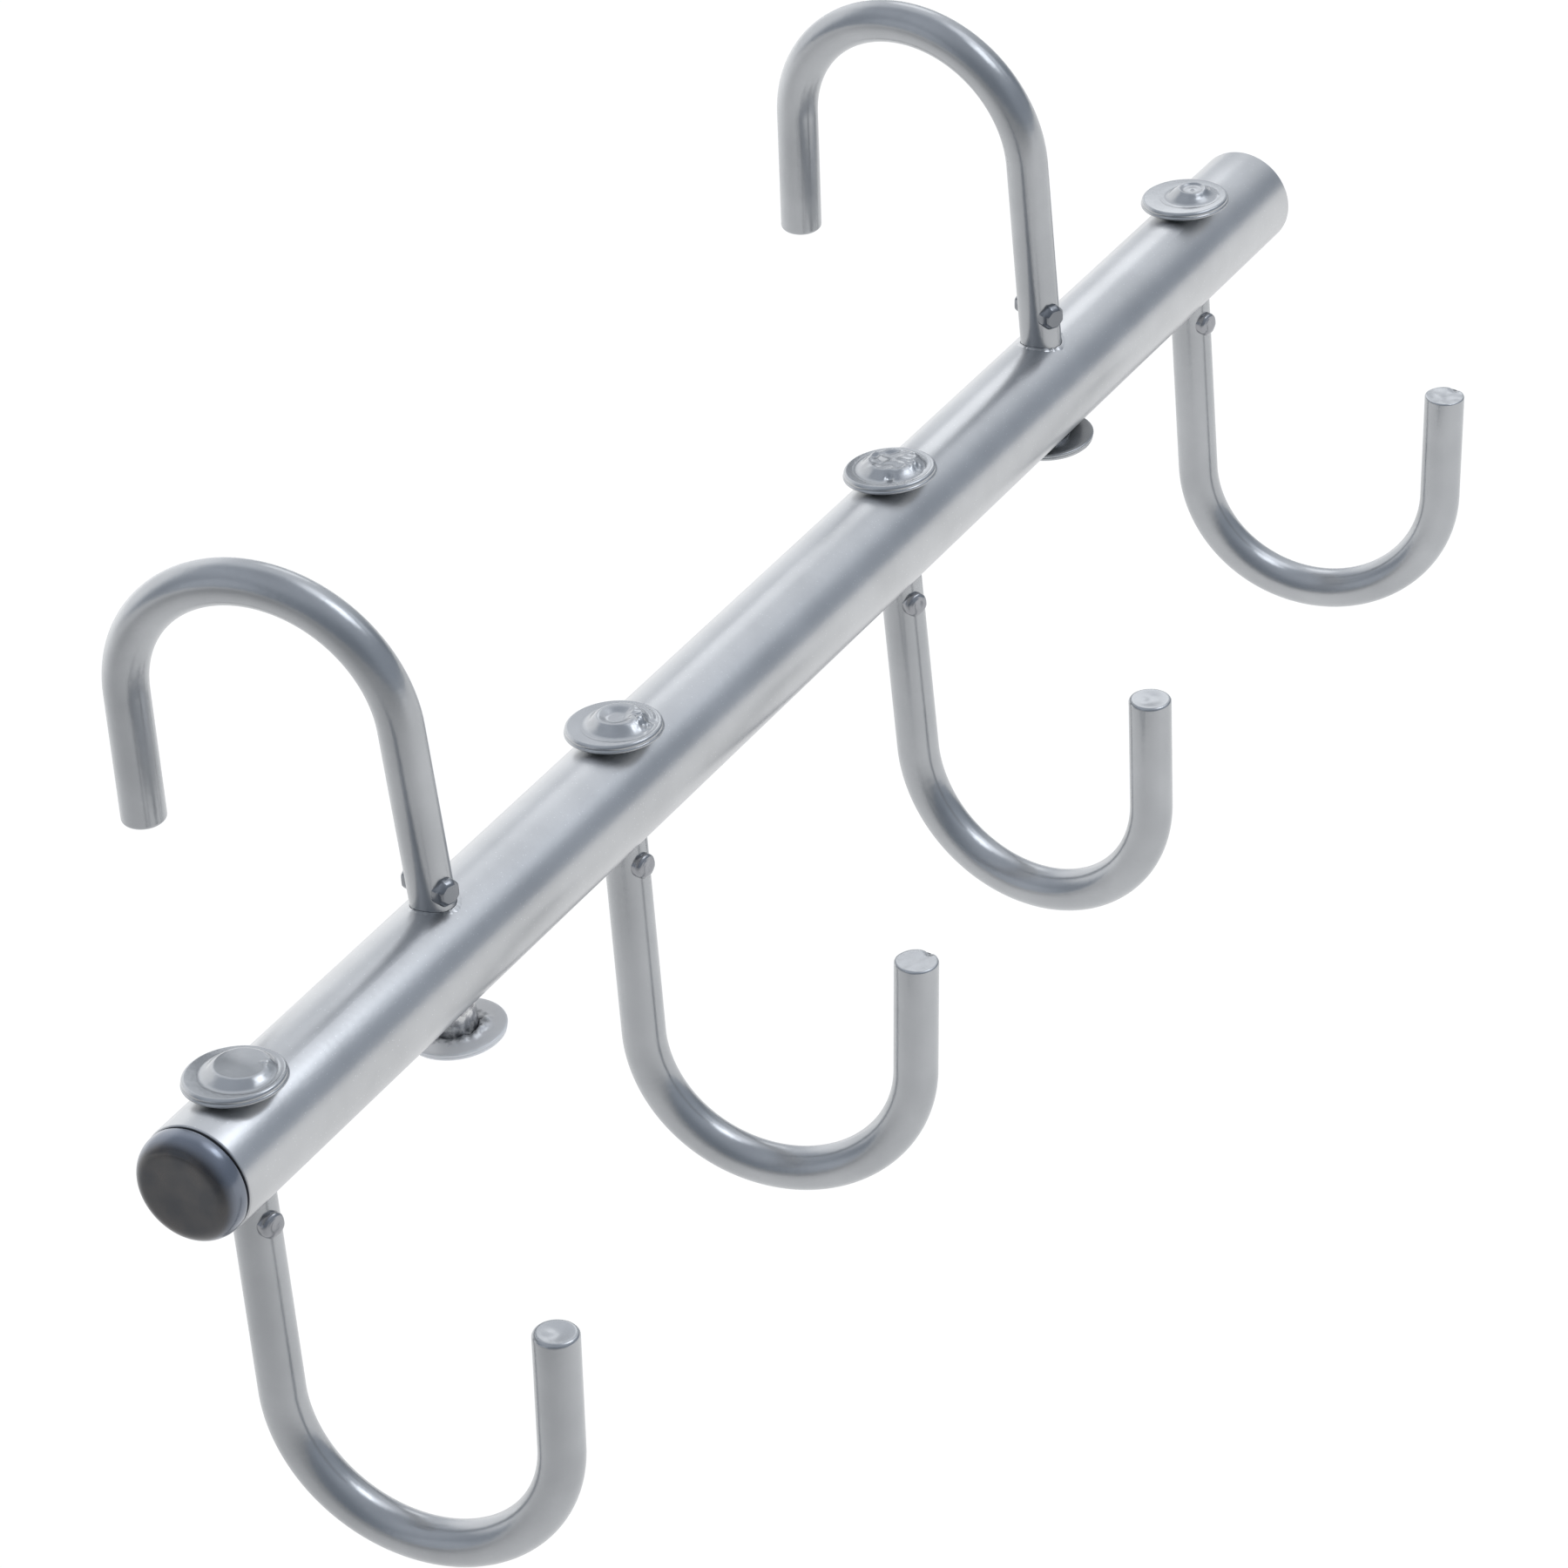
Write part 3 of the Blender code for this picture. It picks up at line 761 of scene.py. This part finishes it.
# Floor: the share of white that it shows by itself, the strength of that white to the eye, and
# the strengths that metal sees, from one place to another along X and behind the rack along Y
WHITE = (1.0, 1.0, 1.0, 1.0)
PAPER = (0.93, 0.93, 0.93, 1.0)
FLOOR_WHITE = 0.86
FLOOR_TO_EYE = 1.07
FLOOR_ALONG = (-1.10, 0.10, 0.42, 1.14)
FLOOR_BEHIND = (0.3, 1.3, 0.0, 0.5)


def node(tree, kind, inputs=(), **values):
    """Add a shader node, set its properties, and set its inputs or link them to sockets."""
    made = tree.nodes.new("ShaderNode" + kind)
    for key, value in values.items():
        setattr(made, key, value)
    for key, value in dict(inputs).items():
        if isinstance(value, bpy.types.NodeSocket):
            tree.links.new(value, made.inputs[key])
        else:
            made.inputs[key].default_value = value
    return made


def maths(tree, operation, *inputs, **values):
    """The result of a sum on numbers and sockets."""
    return node(tree, "Math", dict(enumerate(inputs)), operation=operation, **values).outputs[0]


def ramp(tree, share, *stops):
    """Colours between stops, each a position and a colour, in order."""
    made = node(tree, "ValToRGB", {"Fac": share})
    elements = made.color_ramp.elements
    for position, _ in stops[1:-1]:
        elements.new(position)
    for element, (position, colour) in zip(elements, stops):
        element.position = position
        element.color = (*colour, 1.0)
    return made.outputs["Color"]


def grain(tree, place, scale, detail):
    """Fractal noise over the rack."""
    settings = {"Vector": place, "Scale": scale, "Detail": detail}
    return node(tree, "TexNoise", settings).outputs["Fac"]


def remap(tree, value, low, high, to_low=0.0, to_high=1.0, **values):
    """A value between two limits, moved to between two others."""
    names = ("Value", "From Min", "From Max", "To Min", "To Max")
    settings = dict(zip(names, (value, low, high, to_low, to_high)))
    return node(tree, "MapRange", settings, **values).outputs["Result"]


def mix_colours(tree, share, one, two):
    """One colour over another."""
    settings = {"Factor": share, "A": one, "B": two}
    return node(tree, "Mix", settings, data_type="RGBA").outputs["Result"]


def distance(tree, place, centre, keep):
    """The distance from a point, over the axes that are kept."""
    offset = node(tree, "VectorMath", {0: place, 1: centre}, operation="SUBTRACT")
    level = node(tree, "VectorMath", {0: offset.outputs["Vector"], 1: keep}, operation="MULTIPLY")
    reach = node(tree, "VectorMath", {0: level.outputs["Vector"]}, operation="LENGTH")
    return reach.outputs["Value"]


def relief(tree, shader, height, strength, depth):
    """A shallow bump in the shading."""
    settings = {"Height": height, "Strength": strength, "Distance": depth}
    bumped = node(tree, "Bump", settings)
    tree.links.new(bumped.outputs["Normal"], shader.inputs["Normal"])


def new_material(name):
    """A material, its node tree, its shader and the rack's coordinates."""
    material = bpy.data.materials.new(name)
    material.use_nodes = True
    tree = material.node_tree
    place = node(tree, "TexCoord").outputs["Object"]
    return material, tree, tree.nodes["Principled BSDF"], place


def scorch(tree, place, colour, centre, radius, low, high, tone):
    """Burnt, flecked metal within a radius of a shank and between two heights."""
    flecks = grain(tree, place, *FLECKS)
    reach = distance(tree, place, centre, (1.0, 1.0, 0.0))
    ragged = maths(tree, "MULTIPLY_ADD", flecks, RAGGED, reach)
    near = remap(tree, ragged, radius + BURN_EDGE[0], radius + BURN_EDGE[1])
    height = node(tree, "SeparateXYZ", {0: place}).outputs["Z"]
    over = maths(tree, "GREATER_THAN", height, low)
    under = maths(tree, "LESS_THAN", height, high)
    share = maths(tree, "MULTIPLY", maths(tree, "MULTIPLY", over, under), near)
    stops = [(at, [part * tone for part in shown]) for at, shown in BURN_TONES]
    return mix_colours(tree, share, colour, ramp(tree, flecks, *stops))


def metal_paint(name, dark, light, metallic, roughness, speckle, burns=()):
    """Satin metallic paint: cloudy colour, fine pale flakes, uneven gloss and orange peel.

    The renderer's denoiser treats gloss on either side of roughness 0.274 in its own way, and a
    surface that crosses it shows a noisy patch. So each paint's gloss stays on one side.
    """
    material, tree, shader, place = new_material(name)
    shader.inputs["Metallic"].default_value = metallic
    clouds = grain(tree, place, *CLOUDS)
    tone = ramp(tree, clouds, *zip(CLOUD_STOPS, (dark, light)))
    cells = node(tree, "TexVoronoi", {"Vector": place, "Scale": FLAKE_SCALE})
    flakes = remap(tree, cells.outputs["Distance"], *FLAKE_EDGE, 0.0, speckle)
    colour = mix_colours(tree, flakes, tone, FLAKE_COLOUR)
    for burn in burns:
        colour = scorch(tree, place, colour, *burn)
    tree.links.new(colour, shader.inputs["Base Color"])

    gloss = remap(tree, clouds, 0.0, 1.0, roughness - GLOSS_SPREAD, roughness + GLOSS_SPREAD)
    tree.links.new(gloss, shader.inputs["Roughness"])
    relief(tree, shader, grain(tree, place, *PEEL), *PEEL_RELIEF)
    return material


def cap_plastic():
    """Near-black moulded plastic with brown dust, and a painted silvery sheen in a ring on its
    shoulder.
    """
    material, tree, shader, place = new_material("cap_moulded")
    shader.inputs["Specular IOR Level"].default_value = 0.75
    shader.inputs["IOR"].default_value = 1.50
    shader.inputs["Coat Weight"].default_value = 0.2
    shader.inputs["Coat Roughness"].default_value = 0.22
    scuffs = grain(tree, place, *SCUFFS)
    tone = ramp(tree, scuffs, *CAP_TONES)
    reach = distance(tree, place, TUBE_START, (0.0, 1.0, 1.0))
    # The shoulder ring gets a pale, partly metallic colour: a painted sheen where the lamp's
    # highlight falls
    painted_sheen = remap(tree, reach, *PAINTED_SHEEN_RING, interpolation_type="SMOOTHSTEP")
    colour = mix_colours(tree, painted_sheen, tone, PAINTED_SHEEN_COLOUR)
    tree.links.new(colour, shader.inputs["Base Color"])
    tree.links.new(maths(tree, "MULTIPLY", painted_sheen, PAINTED_SHEEN_METALLIC), shader.inputs["Metallic"])
    tree.links.new(remap(tree, scuffs, 0.0, 1.0, *CAP_GLOSS), shader.inputs["Roughness"])
    relief(tree, shader, scuffs, *CAP_RELIEF)
    return material


def floor_material():
    """White paper that shows white to the eye and keeps a faint shadow.

    Metal sees it dimmer near the camera, and brighter behind the rack.
    """
    material = bpy.data.materials.new("floor_paper")
    material.use_nodes = True
    tree = material.node_tree
    tree.nodes.remove(tree.nodes["Principled BSDF"])
    path = node(tree, "LightPath").outputs
    seen = maths(tree, "ADD", path["Is Camera Ray"], path["Is Glossy Ray"], use_clamp=True)
    through = maths(tree, "ADD", seen, path["Is Transmission Ray"], use_clamp=True)
    share = maths(tree, "MULTIPLY", through, FLOOR_WHITE)

    place = node(tree, "TexCoord").outputs["Object"]
    parts = node(tree, "SeparateXYZ", {0: place}).outputs
    smooth = {"interpolation_type": "SMOOTHSTEP"}
    lit = remap(tree, parts["X"], *FLOOR_ALONG, **smooth)
    behind = remap(tree, parts["Y"], *FLOOR_BEHIND, **smooth)
    room = maths(tree, "ADD", lit, behind)
    settings = {"Factor": path["Is Camera Ray"], "A": room, "B": FLOOR_TO_EYE}
    level = node(tree, "Mix", settings, data_type="FLOAT").outputs["Result"]

    paper = node(tree, "BsdfDiffuse", {"Color": PAPER}).outputs[0]
    white = node(tree, "Emission", {"Color": WHITE, "Strength": level}).outputs[0]
    mix = node(tree, "MixShader", {0: share, 1: paper, 2: white})
    tree.links.new(mix.outputs[0], tree.nodes["Material Output"].inputs["Surface"])
    return material


# Studio

FLOOR_HALF = 6
FLOOR_DROP = 0.12
RACK_MIDDLE = Vector((0.0, -0.03, -0.09))

# Each lamp's name, place, the direction of its long side, size, radiance and colour
WINDOW_ALONG = (0.835, -0.030, -0.550)
DAYLIGHT = (0.95, 0.985, 1.04)
LAMPS = (
    ("window", (0.2755, -0.6693, 0.8560), WINDOW_ALONG, (0.44, 0.40), 2.2, DAYLIGHT),
    ("window_foot", (0.645, -0.555, 0.565), WINDOW_ALONG, (0.28, 0.36), 0.55, DAYLIGHT),
    ("far_window", (1.09, 0.39, 0.61), (0.0, 1.0, 0.0), (0.40, 0.44), 0.9, (1.0, 1.0, 1.0)),
)

# The room as metal sees it: the strength and colour of its walls and of its ceiling, and then the
# azimuth, elevation, half width, strength and colour of each bright part. The first one is the
# backdrop, and metal sees half of its white there.
WALLS = (0.30, (0.85, 0.97, 1.15))
CEILING = (0.28, (0.95, 0.98, 1.05))
GLOWS = (
    (75.0, 4.0, 23.0, 1.25, (1.0, 1.0, 1.0)),
    (22.0, 33.0, 24.0, 0.57, (1.0, 1.0, 1.0)),
    (322.0, 59.0, 9.5, 1.10, (0.97, 0.99, 1.03)),
    (155.0, 14.0, 11.0, 0.30, (0.95, 0.98, 1.04)),
    (135.0, 32.0, 28.0, 0.14, (0.95, 0.98, 1.04)),
    (285.0, 18.0, 30.0, 0.16, (0.90, 0.97, 1.08)),
)
GLOW_FADE = 2.1  # a glow's outer edge, in half widths
BACKDROP_SHARE = 0.5

# The camera fitted to the photograph: 29.6 degrees above, azimuth 58.1, roll -5.9
CAMERA_LENS = 143.859   # millimetres
CAMERA_SENSOR = 36.0    # millimetres
CAMERA_PLACE = Matrix((
    (0.482756, 0.4714852, -0.7380029, -1.0640772),
    (-0.8712027, 0.1727422, -0.459528, -0.695799),
    (-0.0891764, 0.86479, 0.4941516, 0.588617),
    (0.0, 0.0, 0.0, 1.0),
))


def make_floor():
    """A wide sheet of paper under the rack."""
    mesh = bpy.data.meshes.new("floor")
    height = cad_box[0].z - FLOOR_DROP
    corners = [(x * FLOOR_HALF, y * FLOOR_HALF, height)
               for x, y in ((-1, -1), (1, -1), (1, 1), (-1, 1))]
    mesh.from_pydata(corners, [], [(0, 1, 2, 3)])
    floor = add_object("floor", mesh)
    mesh.materials.append(floor_material())


def softbox(name, middle, along, size, radiance, colour):
    """A rectangular lamp that faces the rack, with its long side along a direction."""
    light = bpy.data.lights.new(name, "AREA")
    light.shape = "RECTANGLE"
    light.size, light.size_y = size
    light.energy = radiance * math.pi * size[0] * size[1]
    light.color = colour
    lamp = add_object(name, light)
    back = (Vector(middle) - RACK_MIDDLE).normalized()
    right = (Vector(along) - back * back.dot(Vector(along))).normalized()
    up = back.cross(right)
    facing = Matrix((right, up, back)).transposed().to_4x4()
    lamp.matrix_world = Matrix.Translation(middle) @ facing
    lamp.visible_camera = False


def glow(tree, place, total, direction, low, strength, colour):
    """Add a smooth glow round a direction to the total. Its share is given as well."""
    facing = node(tree, "VectorMath", {0: place, 1: direction}, operation="DOT_PRODUCT")
    share = remap(tree, facing.outputs["Value"], low, 1.0, interpolation_type="SMOOTHERSTEP")
    tint = [strength * part for part in colour]
    tinted = node(tree, "VectorMath", {0: tint, "Scale": share}, operation="SCALE")
    added = node(tree, "VectorMath", {0: total, 1: tinted.outputs["Vector"]}, operation="ADD")
    return added.outputs["Vector"], share


def make_world():
    """White to the eye. Metal sees a dim bluish room, and the white backdrop behind the rack."""
    world = bpy.data.worlds.new("studio")
    bpy.context.scene.world = world
    world.use_nodes = True
    tree = world.node_tree
    tree.nodes.clear()
    place = node(tree, "TexCoord").outputs["Generated"]
    walls = {axis: WALLS[0] * WALLS[1][axis] for axis in range(3)}
    total = node(tree, "CombineXYZ", walls).outputs[0]
    total, _ = glow(tree, place, total, (0.0, 0.0, 1.0), 0.2, *CEILING)
    shares = []
    for azimuth, elevation, width, strength, colour in GLOWS:
        a, e = math.radians(azimuth), math.radians(elevation)
        direction = (math.cos(a) * math.cos(e), math.sin(a) * math.cos(e), math.sin(e))
        low = math.cos(math.radians(GLOW_FADE * width))
        total, share = glow(tree, place, total, direction, low, strength, colour)
        shares.append(share)
    room = node(tree, "Background", {"Color": total}).outputs[0]
    white = node(tree, "Background", {"Color": WHITE}).outputs[0]
    path = node(tree, "LightPath").outputs
    backdrop = maths(tree, "MULTIPLY", path["Is Glossy Ray"], shares[0])
    seen = maths(tree, "MULTIPLY_ADD", backdrop, BACKDROP_SHARE, path["Is Camera Ray"])
    seen = maths(tree, "ADD", seen, path["Is Transmission Ray"], use_clamp=True)
    mix = node(tree, "MixShader", {0: seen, 1: room, 2: white}).outputs[0]
    node(tree, "OutputWorld", {"Surface": mix})


def make_camera():
    """The camera fitted to the photograph."""
    camera = add_object("camera", bpy.data.cameras.new("camera"))
    camera.data.lens = CAMERA_LENS
    camera.data.sensor_width = CAMERA_SENSOR
    camera.matrix_world = CAMERA_PLACE
    bpy.context.scene.camera = camera


# Paints: darker and lighter colour, metallic, roughness and speckle
TUBE_SATIN = ((0.50, 0.505, 0.51), (0.575, 0.58, 0.585), 0.85, 0.305, 0.45)
ROD_SATIN = ((0.39, 0.40, 0.41), (0.46, 0.47, 0.48), 0.85, 0.245, 0.15)
PLATE_SATIN = ((0.40, 0.41, 0.42), (0.475, 0.485, 0.495), 0.85, 0.245, 0.1)
BURNT_PLATE = ((0.80, 0.795, 0.79), (0.88, 0.875, 0.87), 0.22, 0.40, 0.1)
STUD_SATIN = ((0.29, 0.295, 0.31), (0.37, 0.375, 0.39), 0.85, 0.22, 0.05)
BUTTON_GLOSS = ((0.19, 0.20, 0.215), (0.27, 0.28, 0.295), 0.85, 0.16, 0.05)

# A burn reaches to a radius round an upper hook's shank, over a span of heights from the place
# where the shank leaves the washer
NECK_RADIUS = 0.0072
NECK_TONE = 0.85
NECK_SPAN = (-0.0005, 0.0075)
PLATE_BURN_RADIUS = 0.0066
PLATE_BURN_TONE = 0.62


def burn_round(hook, radius, tone):
    """A burn round a shank, as scorch() takes it."""
    foot = hook_place(hook).translation
    return (foot, radius, foot.z + NECK_SPAN[0], foot.z + NECK_SPAN[1], tone)


def build():
    """Build the rack, the studio and the camera."""
    tube_paint = metal_paint("tube_satin", *TUBE_SATIN)
    lower_paint = metal_paint("rod_satin", *ROD_SATIN)
    necks = [burn_round(hook, NECK_RADIUS, NECK_TONE) for hook in HOOKS if hook.row == "upper"]
    upper_paint = metal_paint("upper_rod_satin", *ROD_SATIN, necks)
    plate_paint = metal_paint("plate_satin", *PLATE_SATIN)
    plate_burn = burn_round(SPATTERED_HOOK, PLATE_BURN_RADIUS, PLATE_BURN_TONE)
    burnt_paint = metal_paint("burnt_plate", *BURNT_PLATE, [plate_burn])
    stud_paint = metal_paint("stud_satin", *STUD_SATIN)
    button_paint = metal_paint("button_gloss", *BUTTON_GLOSS)
    make_tube(tube_paint)
    make_cap(cap_plastic())
    for hook in HOOKS:
        lower = hook.row == "lower"
        make_rod(hook, lower_paint if lower else upper_paint)
        make_washer(hook, burnt_paint if hook is SPATTERED_HOOK else plate_paint)
        make_rivet(hook, stud_paint if lower else button_paint)
    make_floor()
    make_world()
    for lamp in LAMPS:
        softbox(*lamp)
    make_camera()
    bpy.context.scene.view_settings.view_transform = "Standard"


build()
